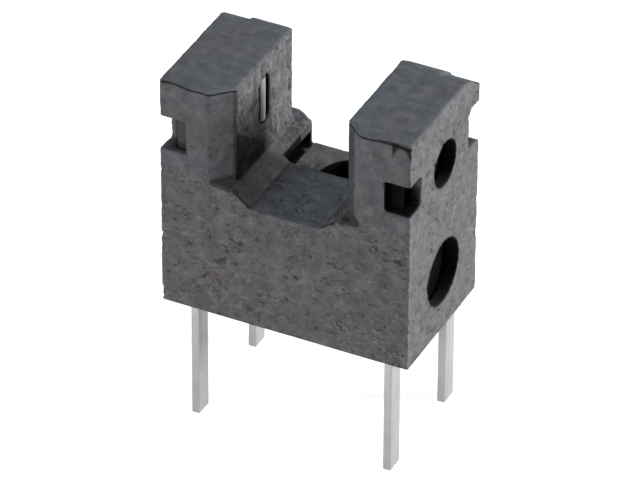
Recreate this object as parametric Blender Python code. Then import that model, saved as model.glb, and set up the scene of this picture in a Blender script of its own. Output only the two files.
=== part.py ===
# Slotted optical switch: a moulded housing with two towers, and in each tower an encapsulated
# optical package on two flat leads. The emitter looks across the slot at the detector.
# Units are metres, +Z is up, X runs from the emitter end to the detector end, and the origin is
# the middle of the housing's underside, where it meets the circuit board.
import math

import bmesh
import bpy
from mathutils import Vector

mm = 0.001

# Housing
BODY_WIDTH = 4.84 * mm
SLOT_WIDTH = 3.64 * mm          # between the two towers
BASE_HEIGHT = 4.78 * mm         # from the board to the towers' feet
TOWER_HEIGHT = 3.28 * mm
END_WALL = 0.45 * mm            # outside a package
SIDE_WALL = 0.30 * mm           # before and behind it
APERTURE_WALL = 0.49 * mm       # between it and the slot
ROOF = 0.45 * mm                # over it
EDGE_ROUND = 0.07 * mm
ROUND_STEPS = 3

# Towers
TOWER_CHAMFER_X = 0.69 * mm     # inner corners, seen from above
TOWER_CHAMFER_Y = 0.57 * mm
CREST_ROUND = 0.16 * mm         # between a tower's top and its inner face
REAR_SLOPE_RUN = 0.52 * mm      # slope along the rear edge of the top
REAR_SLOPE_DROP = 0.62 * mm
REAR_SLOPE_CROWN = 0.08 * mm    # how far the slope bulges in its middle
REAR_STEP = 0.16 * mm           # how much further in the slope starts above a notch
NOTCH_LENGTH = 0.90 * mm        # of the notches in the four outer corners, along X
NOTCH_DEPTH = 0.77 * mm         # along Y
NOTCH_FLOOR_DROP = 2.51 * mm    # from the tower's top to a notch's floor
EMITTER_NOTCH_DROP = 1.33 * mm  # to the roofs of the two front notches
DETECTOR_NOTCH_DROP = 1.45 * mm
REAR_NOTCH_DROP = 1.12 * mm
FRONT_NOTCH_ROUND = 0.10 * mm   # between a notch's roof and its inner wall
REAR_NOTCH_ROUND = 0.32 * mm
FRONT_LEDGE_ROUND = 0.10 * mm   # along the outer edge of a notch's floor
REAR_LEDGE_ROUND = 0.24 * mm

# Floor of the slot
RAMP_RUN = 0.67 * mm            # from a tower's foot to the front part of the floor
RAMP_DROP = 0.54 * mm
RECESS_DROP = 0.54 * mm         # from the front part of the floor to the rear part
RECESS_DEPTH = 2.00 * mm        # of the rear part, from the rear face
RECESS_SHELF = 0.41 * mm        # of ramp that stays beside it
FLOOR_HOLE_SIDE = 0.89 * mm     # between the hole and the emitter's side of the recess
FLOOR_HOLE_EDGE = 0.02 * mm     # the same on the detector's side
FLOOR_HOLE_WALL = 0.25 * mm     # left standing behind it
FLOOR_HOLE_DEPTH = 1.90 * mm
FLOOR_HOLE_CORNER = 0.22 * mm   # round at the step, below the emitter
RELIEF_HEIGHT = 0.42 * mm       # low opening in the recess's side below the emitter
RELIEF_DEPTH = 0.60 * mm
RELIEF_END = 0.14 * mm          # left standing at the rear face

# Holes in the two ends
UPPER_HOLE_DIAMETER = 1.50 * mm
UPPER_HOLE_DROP = 2.00 * mm     # from the tower's top
LOWER_HOLE_DIAMETER = 2.15 * mm
LOWER_HOLE_HEIGHT = 2.13 * mm   # above the board
HOLE_STEPS = 40                 # faces round a hole
NOTCH_STEPS = 6                 # faces of a round in a notch
SLIT_STEPS = 6                  # faces of each round at a slit's ends
CROWN_STEPS = 6                 # faces across a crowned slope or bar
CORNER_STEPS = 5                # faces of the other rounds

# Light path
BEAM_DROP = 1.49 * mm           # from the tower's top
SLIT_WIDTH = 0.68 * mm
SLIT_HEIGHT = 1.70 * mm
SLIT_ROUND = 0.30 * mm
WINDOW_WIDTH = 0.40 * mm        # raised bar of a package, which fills the middle of its slit
WINDOW_END = 0.10 * mm          # from the bar's ends to the slit's ends
WINDOW_INSET = 0.03 * mm        # from the bar's crown to the tower's inner face
WINDOW_CROWN = 0.06 * mm

# Packages
FIT = 0.02 * mm                 # clearance round a package and round what it holds
SEAT = 0.01 * mm                # between a chip or a wire's end and its seat
PACKAGE_BOTTOM = 0.66 * mm      # above the board
EMITTER_BACKING = 0.46 * mm     # of epoxy outside the leads
DETECTOR_BACKING = 0.14 * mm
WIRE_COVER = 0.19 * mm          # of epoxy over the emitter's wire

# Leads, stamped from one flat strip for each package
LEAD_THICKNESS = 0.26 * mm
LEAD_WIDTH = 0.62 * mm
LEAD_EDGE = 0.18 * mm           # from a lead to the housing's front or rear face
LEAD_DROP = 4.05 * mm           # below the board's top
LEAD_GROOVE_HEIGHT = 0.62 * mm  # of the grooves that the leads leave the housing through
NECK_WIDTH = 0.44 * mm          # inside the package
NECK_COVER = 0.15 * mm          # of the package over the neck's outer edge
ARM_HEIGHT = 0.50 * mm
PAD_SIZE = 1.20 * mm
POST_GAP = 0.22 * mm            # between the pad and the bond post

# Chips and bond wires
EMITTER_CHIP = 0.32 * mm
EMITTER_CHIP_THICKNESS = 0.20 * mm
DETECTOR_CHIP = 0.80 * mm
DETECTOR_CHIP_THICKNESS = 0.25 * mm
WIRE_DIAMETER = 0.04 * mm
WIRE_LOOP = 0.22 * mm
WIRE_STEPS = 16

# What follows from these. Depths run from a housing's end towards the slot
LEAD_NEAR = END_WALL + FIT
EMITTER_LEAD_PLANE = LEAD_NEAR + EMITTER_BACKING + LEAD_THICKNESS / 2
DETECTOR_LEAD_PLANE = LEAD_NEAR + DETECTOR_BACKING + LEAD_THICKNESS / 2
CHIP_STACK = LEAD_THICKNESS / 2 + SEAT + EMITTER_CHIP_THICKNESS + SEAT + WIRE_LOOP
POCKET_FAR = EMITTER_LEAD_PLANE + CHIP_STACK + WIRE_COVER + FIT
TOWER_LENGTH = POCKET_FAR + APERTURE_WALL
BODY_LENGTH = SLOT_WIDTH + 2 * TOWER_LENGTH
BODY_HEIGHT = BASE_HEIGHT + TOWER_HEIGHT
HALF_WIDTH = BODY_WIDTH / 2
SLOT_HALF = SLOT_WIDTH / 2
LIP_HEIGHT = BASE_HEIGHT - RAMP_DROP
RECESS_HEIGHT = LIP_HEIGHT - RECESS_DROP
RECESS_HALF = SLOT_HALF - RECESS_SHELF
RECESS_FRONT = HALF_WIDTH - RECESS_DEPTH
POCKET_HALF = HALF_WIDTH - SIDE_WALL
POCKET_TOP = BODY_HEIGHT - ROOF
BEAM_HEIGHT = BODY_HEIGHT - BEAM_DROP
SLIT_LOW = BEAM_HEIGHT - SLIT_HEIGHT / 2
SLIT_HIGH = BEAM_HEIGHT + SLIT_HEIGHT / 2
LEAD_OUTER = HALF_WIDTH - LEAD_EDGE
LEAD_INNER = LEAD_OUTER - LEAD_WIDTH

CUT_PAST = 0.5 * mm             # how far a cutter runs past the face it opens
MERGE = 0.0005 * mm


def material(name, colour, roughness, metallic=0.0):
    mat = bpy.data.materials.new(name)
    mat.use_nodes = True
    shader = mat.node_tree.nodes["Principled BSDF"]
    shader.inputs["Base Color"].default_value = (*colour, 1.0)
    shader.inputs["Roughness"].default_value = roughness
    shader.inputs["Metallic"].default_value = metallic
    return mat


def add_object(name, bm, mat=None):
    bmesh.ops.recalc_face_normals(bm, faces=bm.faces)
    mesh = bpy.data.meshes.new(name)
    bm.to_mesh(mesh)
    bm.free()
    obj = bpy.data.objects.new(name, mesh)
    bpy.context.collection.objects.link(obj)
    if mat:
        mesh.materials.append(mat)
    return obj


def modify(obj, tool, operation):
    # The tool stays in the file as a hidden guide
    tool.hide_render = True
    tool.display_type = "WIRE"
    change = obj.modifiers.new(operation.lower() + "_" + tool.name, "BOOLEAN")
    change.operation = operation
    change.solver = "EXACT"
    change.object = tool


def prism(name, outline, low, high, axis, mat=None):
    # The outline lies across the axis: (y, z) for X, (x, z) for Y, and (x, y) for Z
    place = {
        "X": lambda a, b, c: (c, a, b),
        "Y": lambda a, b, c: (a, c, b),
        "Z": lambda a, b, c: (a, b, c),
    }[axis]
    bm = bmesh.new()
    ends = [[bm.verts.new(place(a, b, c)) for a, b in outline] for c in (low, high)]
    for end in ends:
        bm.faces.new(end)
    count = len(outline)
    for i in range(count):
        j = (i + 1) % count
        bm.faces.new((ends[0][i], ends[0][j], ends[1][j], ends[1][i]))
    return add_object(name, bm, mat)


def block(name, x, y, z, mat=None):
    outline = [(x[0], y[0]), (x[1], y[0]), (x[1], y[1]), (x[0], y[1])]
    return prism(name, outline, z[0], z[1], "Z", mat)


def arc(centre, radius, start, end, steps):
    turn = [math.radians(start + (end - start) * i / steps) for i in range(steps + 1)]
    return [(centre[0] + radius * math.cos(t), centre[1] + radius * math.sin(t)) for t in turn]


def rounded(low, high, radius, steps):
    # Anticlockwise rectangle between two corners, with round corners
    corners = ((low[0], low[1], 180), (high[0], low[1], 270), (high[0], high[1], 0), (low[0], high[1], 90))
    outline = []
    for a, b, start in corners:
        centre = (a + radius if a == low[0] else a - radius, b + radius if b == low[1] else b - radius)
        outline += arc(centre, radius, start, start + 90, steps)
    return outline


def grown(outline, distance):
    # Every edge of an outline that runs anticlockwise moves outwards by the same distance
    result = []
    for i, here in enumerate(outline):
        point = Vector(here)
        before = (point - Vector(outline[i - 1])).normalized()
        after = (Vector(outline[(i + 1) % len(outline)]) - point).normalized()
        normals = Vector((before.y, -before.x)), Vector((after.y, -after.x))
        middle = normals[0] + normals[1]
        result.append(tuple(point + middle * distance * 2 / middle.length_squared))
    return result


class Tower:
    # Depth is measured from the housing's end towards the slot
    def __init__(self, side):
        self.side = side

    def x(self, depth):
        return self.side * (BODY_LENGTH / 2 - depth)

    def span(self, near, far):
        return tuple(sorted((self.x(near), self.x(far))))

    def plan(self, points):
        # Turns (depth, y) points into an anticlockwise (x, y) outline
        outline = [(self.x(depth), y) for depth, y in points]
        return outline if self.side < 0 else outline[::-1]


def pocket_points():
    # Same chamfers as the tower's own inner corners, so the wall beside them stays even
    edge = POCKET_HALF - TOWER_CHAMFER_Y
    shoulder = POCKET_FAR - TOWER_CHAMFER_X
    return [
        (END_WALL, -POCKET_HALF), (shoulder, -POCKET_HALF), (POCKET_FAR, -edge),
        (POCKET_FAR, edge), (shoulder, POCKET_HALF), (END_WALL, POCKET_HALF),
    ]


def outer_block(mat):
    bm = bmesh.new()
    bmesh.ops.create_cube(bm, size=1.0)
    bmesh.ops.scale(bm, vec=(BODY_LENGTH, BODY_WIDTH, BODY_HEIGHT), verts=bm.verts)
    bmesh.ops.translate(bm, vec=(0, 0, BODY_HEIGHT / 2), verts=bm.verts)
    bmesh.ops.bevel(
        bm, geom=bm.edges[:], offset=EDGE_ROUND, segments=ROUND_STEPS, profile=0.5, affect="EDGES")
    return add_object("housing", bm, mat)


def slot_cutter():
    top = BODY_HEIGHT + CUT_PAST
    foot = SLOT_HALF - RAMP_RUN
    outline = [
        (-SLOT_HALF, top), (-SLOT_HALF, BASE_HEIGHT), (-foot, LIP_HEIGHT),
        (foot, LIP_HEIGHT), (SLOT_HALF, BASE_HEIGHT), (SLOT_HALF, top),
    ]
    past = HALF_WIDTH + CUT_PAST
    return prism("slot_cutter", outline, -past, past, "Y")


def corner_cutter(tower, face):
    # Takes the tower's inner corner off above the base, and leaves a small ledge there
    slope = TOWER_CHAMFER_X / TOWER_CHAMFER_Y
    past_x = TOWER_LENGTH + CUT_PAST
    past_y = HALF_WIDTH + CUT_PAST
    points = [
        (past_x, HALF_WIDTH - TOWER_CHAMFER_Y - CUT_PAST / slope), (past_x, past_y),
        (TOWER_LENGTH - TOWER_CHAMFER_X - CUT_PAST * slope, past_y),
    ]
    outline = tower.plan([(depth, face * y) for depth, y in points])
    return prism("corner_cutter", outline, BASE_HEIGHT, BODY_HEIGHT + CUT_PAST, "Z")


def crest_cutter(tower):
    # Rounds the edge between the tower's top and its inner face
    centre = (TOWER_LENGTH + FIT - CREST_ROUND, BODY_HEIGHT + FIT - CREST_ROUND)
    outline = [(centre[0], BODY_HEIGHT + CUT_PAST)] + arc(centre, CREST_ROUND, 90, 0, CORNER_STEPS)
    outline += [(TOWER_LENGTH + CUT_PAST, centre[1]), (TOWER_LENGTH + CUT_PAST, BODY_HEIGHT + CUT_PAST)]
    past = HALF_WIDTH + CUT_PAST
    return prism("crest_cutter", tower.plan(outline), -past, past, "Y")


def rear_slope_cutter(tower, near, far, run):
    # Crowned wedge along the rear top edge
    length = math.hypot(run, REAR_SLOPE_DROP)
    share = CUT_PAST / REAR_SLOPE_DROP
    start = HALF_WIDTH - run
    end = HALF_WIDTH + run * share
    outline = [(start - run * share, BODY_HEIGHT + CUT_PAST)]
    for i in range(CROWN_STEPS + 1):
        t = i / CROWN_STEPS
        bulge = 4 * t * (1 - t) * REAR_SLOPE_CROWN / length
        outline.append((
            start + run * t + REAR_SLOPE_DROP * bulge, BODY_HEIGHT - REAR_SLOPE_DROP * t + run * bulge))
    outline += [(end, BODY_HEIGHT - REAR_SLOPE_DROP - CUT_PAST), (end + CUT_PAST, BODY_HEIGHT + CUT_PAST)]
    low, high = tower.span(near, far)
    return prism("rear_slope_cutter", outline, low, high, "X")


def end_hole_cutter(tower, diameter, height):
    outline = arc((0.0, height), diameter / 2, 0, 360 - 360 / HOLE_STEPS, HOLE_STEPS - 1)
    low, high = tower.span(-CUT_PAST, END_WALL + FIT)
    return prism("end_hole_cutter", outline, low, high, "X")


def recess_cutter():
    return block(
        "recess_cutter", (-RECESS_HALF, RECESS_HALF), (RECESS_FRONT, HALF_WIDTH + CUT_PAST),
        (RECESS_HEIGHT, BASE_HEIGHT + CUT_PAST))


def floor_hole_cutter():
    # Straight along the recess's step, and half round at the rear
    left = FLOOR_HOLE_SIDE - RECESS_HALF
    right = RECESS_HALF - FLOOR_HOLE_EDGE
    radius = (right - left) / 2
    centre = ((left + right) / 2, HALF_WIDTH - FLOOR_HOLE_WALL - radius)
    corner = (left + FLOOR_HOLE_CORNER, RECESS_FRONT + FLOOR_HOLE_CORNER)
    outline = arc(corner, FLOOR_HOLE_CORNER, 180, 270, CORNER_STEPS) + [(right, RECESS_FRONT)]
    outline += arc(centre, radius, 0, 180, HOLE_STEPS // 2)
    low = RECESS_HEIGHT - FLOOR_HOLE_DEPTH
    return prism("floor_hole_cutter", outline, low, RECESS_HEIGHT + CUT_PAST, "Z")


def relief_cutter():
    return block(
        "relief_cutter", (-RECESS_HALF - RELIEF_DEPTH, -RECESS_HALF + FIT),
        (RECESS_FRONT, HALF_WIDTH - RELIEF_END), (RECESS_HEIGHT, RECESS_HEIGHT + RELIEF_HEIGHT))


def notch_cutter(tower, face, drop, radius, ledge_radius):
    wall = HALF_WIDTH - NOTCH_DEPTH
    past = HALF_WIDTH + CUT_PAST
    roof = BODY_HEIGHT - drop
    floor = BODY_HEIGHT - NOTCH_FLOOR_DROP
    outline = arc((wall + radius, roof - radius), radius, 180, 90, NOTCH_STEPS)
    edge = (HALF_WIDTH + FIT - ledge_radius, floor - ledge_radius)
    outline += [(past, roof), (past, edge[1])] + arc(edge, ledge_radius, 0, 90, NOTCH_STEPS)
    outline.append((wall, floor))
    low, high = tower.span(-CUT_PAST, NOTCH_LENGTH)
    return prism("notch_cutter", [(face * y, z) for y, z in outline], low, high, "X")


def groove_cutter(tower, lead_plane):
    half = LEAD_THICKNESS / 2 + FIT
    return block(
        "groove_cutter", tower.span(lead_plane - half, lead_plane + half),
        (-LEAD_OUTER - FIT, LEAD_OUTER + FIT), (-CUT_PAST, LEAD_GROOVE_HEIGHT))


def pocket_cutter(tower):
    return prism("pocket_cutter", tower.plan(pocket_points()), -CUT_PAST, POCKET_TOP, "Z")


def slit_cutter(tower):
    half = SLIT_WIDTH / 2
    outline = rounded((-half, SLIT_LOW), (half, SLIT_HIGH), SLIT_ROUND, SLIT_STEPS)
    low, high = tower.span(POCKET_FAR - FIT, TOWER_LENGTH + CUT_PAST)
    return prism("slit_cutter", outline, low, high, "X")


def housing(mat, towers):
    body = outer_block(mat)
    cutters = [slot_cutter(), recess_cutter(), floor_hole_cutter(), relief_cutter()]
    for tower, lead_plane, notch_drop in towers:
        cutters += [corner_cutter(tower, face) for face in (-1, 1)]
        cutters += [
            notch_cutter(tower, -1, notch_drop, FRONT_NOTCH_ROUND, FRONT_LEDGE_ROUND),
            notch_cutter(tower, 1, REAR_NOTCH_DROP, REAR_NOTCH_ROUND, REAR_LEDGE_ROUND),
            rear_slope_cutter(tower, -CUT_PAST, TOWER_LENGTH + CUT_PAST, REAR_SLOPE_RUN),
            rear_slope_cutter(tower, -CUT_PAST, NOTCH_LENGTH, REAR_SLOPE_RUN + REAR_STEP),
            crest_cutter(tower),
            pocket_cutter(tower),
            slit_cutter(tower),
            end_hole_cutter(tower, UPPER_HOLE_DIAMETER, BODY_HEIGHT - UPPER_HOLE_DROP),
            end_hole_cutter(tower, LOWER_HOLE_DIAMETER, LOWER_HOLE_HEIGHT),
            groove_cutter(tower, lead_plane),
        ]
    for cutter in cutters:
        modify(body, cutter, "DIFFERENCE")
    return body


def lead_outline(face, with_pad):
    # One stamped lead in (y, z): the leg, the narrower neck inside the package, and at the
    # beam's height either the pad for the chip or the post for the bond wire
    neck_out = POCKET_HALF - FIT - NECK_COVER
    neck_in = neck_out - NECK_WIDTH
    shoulder = LEAD_GROOVE_HEIGHT - FIT
    low = BEAM_HEIGHT - ARM_HEIGHT / 2
    high = BEAM_HEIGHT + ARM_HEIGHT / 2
    half = PAD_SIZE / 2
    leg = [(neck_in, shoulder), (LEAD_INNER, shoulder), (LEAD_INNER, -LEAD_DROP),
           (LEAD_OUTER, -LEAD_DROP), (LEAD_OUTER, shoulder), (neck_out, shoulder), (neck_out, high)]
    if with_pad:
        head = [(half, high), (half, BEAM_HEIGHT + half), (-half, BEAM_HEIGHT + half),
                (-half, BEAM_HEIGHT - half), (half, BEAM_HEIGHT - half), (half, low)]
    else:
        head = [(half + POST_GAP, high), (half + POST_GAP, low)]
    outline = leg + head + [(neck_in, low)]
    return outline if face > 0 else [(-y, z) for y, z in outline][::-1]


def lead(name, tower, plane, face, with_pad, mat=None, grow=0.0):
    outline = lead_outline(face, with_pad)
    if grow:
        outline = grown(outline, grow)
    low, high = tower.span(plane - LEAD_THICKNESS / 2 - grow, plane + LEAD_THICKNESS / 2 + grow)
    return prism(name, outline, low, high, "X", mat)


def chip(name, tower, plane, size, thickness, mat=None, grow=0.0):
    near = plane + LEAD_THICKNESS / 2 + SEAT
    half = size / 2 + grow
    return block(
        name, tower.span(near - grow, near + thickness + grow), (-half, half),
        (BEAM_HEIGHT - half, BEAM_HEIGHT + half), mat)


def wire(name, tower, plane, face, chip_thickness, mat=None, grow=0.0):
    # A loop from the chip's face to the bond post, square to both where it lands
    pad = plane + LEAD_THICKNESS / 2 + SEAT
    first, last = pad + chip_thickness + SEAT, pad
    reach = face * (PAD_SIZE / 2 + POST_GAP + ARM_HEIGHT / 2)
    curve = bpy.data.curves.new(name, "CURVE")
    curve.dimensions = "3D"
    curve.bevel_depth = WIRE_DIAMETER / 2 + grow
    curve.bevel_resolution = 2
    curve.use_fill_caps = True
    spline = curve.splines.new("POLY")
    spline.points.add(WIRE_STEPS)
    for i, point in enumerate(spline.points):
        t = i / WIRE_STEPS
        depth = first + (last - first) * t + WIRE_LOOP * math.sin(math.pi * t)
        y = reach * (1 - math.cos(math.pi * t)) / 2
        point.co = (tower.x(depth), y, BEAM_HEIGHT, 1.0)
    guide = bpy.data.objects.new(name + "_path", curve)
    bpy.context.collection.objects.link(guide)
    bm = bmesh.new()
    bm.from_mesh(bpy.data.meshes.new_from_object(guide))
    bmesh.ops.remove_doubles(bm, verts=bm.verts, dist=MERGE)
    bpy.data.objects.remove(guide)
    return add_object(name, bm, mat)


def window_outline(tower):
    # The bar's section: straight sides and a shallow crown
    root = POCKET_FAR - 2 * FIT
    crown = TOWER_LENGTH - WINDOW_INSET
    half = WINDOW_WIDTH / 2
    points = [(root, -half)]
    for i in range(CROWN_STEPS + 1):
        t = -1 + 2 * i / CROWN_STEPS
        points.append((crown - WINDOW_CROWN * t * t, half * t))
    return tower.plan(points + [(root, half)])


def package_shell(name, tower, mat):
    outline = grown(tower.plan(pocket_points()), -FIT)
    body = prism(name, outline, PACKAGE_BOTTOM, POCKET_TOP - FIT, "Z", mat)
    bar = prism(
        name + "_window", window_outline(tower), SLIT_LOW + WINDOW_END, SLIT_HIGH - WINDOW_END, "Z")
    modify(body, bar, "UNION")
    return body


def package(name, tower, plane, chip_face, chip_size, chip_thickness, mats):
    # The encapsulant is moulded round its leads, chip and wire
    body = package_shell(name + "_body", tower, mats["body"])
    lead(name + "_chip_lead", tower, plane, chip_face, True, mats["lead"])
    lead(name + "_bond_lead", tower, plane, -chip_face, False, mats["lead"])
    chip(name + "_chip", tower, plane, chip_size, chip_thickness, mats["chip"])
    wire(name + "_bond_wire", tower, plane, -chip_face, chip_thickness, mats["wire"])
    held = (
        lead(name + "_chip_lead_space", tower, plane, chip_face, True, grow=FIT),
        lead(name + "_bond_lead_space", tower, plane, -chip_face, False, grow=FIT),
        chip(name + "_chip_space", tower, plane, chip_size, chip_thickness, grow=FIT),
        wire(name + "_wire_space", tower, plane, -chip_face, chip_thickness, grow=FIT),
    )
    for space in held:
        modify(body, space, "DIFFERENCE")


def main():
    for obj in list(bpy.data.objects):
        bpy.data.objects.remove(obj, do_unlink=True)
    plastic = material("moulded_black_thermoplastic", (0.075, 0.078, 0.084), 0.62)
    clear = material("clear_infrared_epoxy", (0.56, 0.58, 0.60), 0.12)
    dark = material("daylight_blocking_epoxy", (0.012, 0.010, 0.012), 0.16)
    tinned = material("tinned_steel", (0.62, 0.62, 0.64), 0.34, 1.0)
    arsenide = material("gallium_arsenide", (0.09, 0.08, 0.09), 0.25)
    silicon = material("silicon", (0.07, 0.08, 0.12), 0.2)
    gold = material("gold_wire", (0.90, 0.64, 0.25), 0.25, 1.0)
    emitter_end, detector_end = Tower(-1), Tower(1)
    housing(plastic, (
        (emitter_end, EMITTER_LEAD_PLANE, EMITTER_NOTCH_DROP),
        (detector_end, DETECTOR_LEAD_PLANE, DETECTOR_NOTCH_DROP)))
    package(
        "emitter", emitter_end, EMITTER_LEAD_PLANE, -1, EMITTER_CHIP, EMITTER_CHIP_THICKNESS,
        {"body": clear, "lead": tinned, "chip": arsenide, "wire": gold})
    package(
        "detector", detector_end, DETECTOR_LEAD_PLANE, -1, DETECTOR_CHIP, DETECTOR_CHIP_THICKNESS,
        {"body": dark, "lead": tinned, "chip": silicon, "wire": gold})


main()
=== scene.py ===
# Slotted optical switch: the looks of the moulded housing, its epoxy packages and tinned leads.
import math

import bmesh
import bpy
import numpy as np
from mathutils import Matrix, Vector


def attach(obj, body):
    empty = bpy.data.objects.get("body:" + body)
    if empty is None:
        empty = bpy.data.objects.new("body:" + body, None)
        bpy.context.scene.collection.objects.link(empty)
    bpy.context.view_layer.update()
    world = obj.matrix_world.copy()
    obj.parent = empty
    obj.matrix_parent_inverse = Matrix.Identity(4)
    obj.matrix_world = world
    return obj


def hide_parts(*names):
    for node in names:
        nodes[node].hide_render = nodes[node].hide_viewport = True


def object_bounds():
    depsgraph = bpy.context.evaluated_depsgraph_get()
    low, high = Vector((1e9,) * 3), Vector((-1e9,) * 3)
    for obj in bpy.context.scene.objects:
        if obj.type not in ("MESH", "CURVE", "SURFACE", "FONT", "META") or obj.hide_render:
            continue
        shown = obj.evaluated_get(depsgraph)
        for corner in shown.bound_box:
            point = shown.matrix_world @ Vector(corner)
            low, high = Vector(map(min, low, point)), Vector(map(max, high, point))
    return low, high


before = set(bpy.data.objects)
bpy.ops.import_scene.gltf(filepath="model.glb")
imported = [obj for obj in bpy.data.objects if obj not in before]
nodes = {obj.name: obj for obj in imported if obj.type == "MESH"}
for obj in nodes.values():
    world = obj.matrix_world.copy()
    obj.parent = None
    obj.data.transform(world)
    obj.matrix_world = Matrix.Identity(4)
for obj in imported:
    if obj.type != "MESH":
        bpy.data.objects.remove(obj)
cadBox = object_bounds()
mm = 0.001
print("frame loaded:", len(nodes), "nodes")


def linear(hexColour):
    # sRGB hex to the linear values that Blender's sockets hold
    channels = [int(hexColour[i:i + 2], 16) / 255 for i in (1, 3, 5)]
    return tuple(c / 12.92 if c <= 0.04045 else ((c + 0.055) / 1.055) ** 2.4 for c in channels) + (1.0,)


def addNode(tree, kind, settings=None, links=None):
    # Settings are the node's own or its inputs' values; links say which socket feeds which input
    node = tree.nodes.new(kind)
    for key, value in (settings or {}).items():
        if isinstance(key, str) and hasattr(node, key):
            setattr(node, key, value)
        else:
            node.inputs[key].default_value = value
    for key, source in (links or {}).items():
        tree.links.new(source, node.inputs[key])
    return node


def newMaterial(name):
    material = bpy.data.materials.new(name)
    material.use_nodes = True
    tree = material.node_tree
    return material, tree, tree.nodes["Principled BSDF"]


def bakedMesh(guide, name):
    # The guide's modifiers, applied to a plain mesh
    bpy.context.view_layer.update()
    evaluated = guide.evaluated_get(bpy.context.evaluated_depsgraph_get())
    mesh = bpy.data.meshes.new_from_object(evaluated)
    mesh.name = name
    bpy.data.objects.remove(guide)
    return mesh


def linked(name, mesh):
    piece = bpy.data.objects.new(name, mesh)
    bpy.context.scene.collection.objects.link(piece)
    return piece


def mergedCopy(nodeName):
    # A CAD node's mesh is loose triangles, so its corners are joined in a copy
    form = bmesh.new()
    form.from_mesh(nodes[nodeName].data)
    bmesh.ops.remove_doubles(form, verts=form.verts, dist=0.0005 * mm)
    mesh = bpy.data.meshes.new(nodeName + "Copy")
    form.to_mesh(mesh)
    form.free()
    mesh.materials.clear()
    return mesh


# The housing is black glass-filled thermoplastic, moulded in a spark-eroded tool
housing = {
    "voxel": 0.056 * mm,
    "smoothFactor": 0.5,
    "smoothSteps": 1,
    "keptShare": 0.60,           # of the remeshed triangles; flat places need few
    "swellDepth": 0.040 * mm,    # broad hollows
    "swellSize": 0.85,           # millimetres between them, as the other sizes here
    "dentDepth": 0.065 * mm,     # short dents where the spark burnt deeper
    "dentSize": 0.30,
    "pitDepth": 0.080 * mm,
    "pitSpacing": 0.80,
    "pitShare": 0.30,            # how many cells hold a pit
    "cobbleDepth": 0.035 * mm,   # low bumps on the ends and inner faces
    "cobbleSize": 0.34,
    "flattening": 1.7,           # dents lie along the faces
    "streaking": 0.80,           # but are drawn out upwards on the towers' inner faces
    "seed": 3.7,
    "swellBand": (0.45, 0.75),   # of the noise, from nothing to full depth
    "dentBand": (0.60, 0.70),
    "rimBand": (0.52, 0.57, 0.58, 0.62),    # where a dent's rim of painted highlight starts, is full, fades and ends
    "patchBand": (0.40, 0.60),   # dents gather in patches
    "pitBand": (0.05, 0.16),     # of a cell, outwards
    "cobbleBand": (0.25, 0.75),
    "crestRound": 1.20,          # where a tower's top turns into its rear slope
    "crestShare": 0.93,          # of that radius, the arc's run along Y
    "crestStarts": (1.424, 1.373),    # along Y, on the emitter's and the detector's tower
    "crestStep": 0.126,          # how much further in it starts above the notches
    "notchStart": 3.25,          # along X
    "crestFeet": (7.44, 7.53),   # the rear slopes' lowest heights, on the same two towers
}

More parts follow.
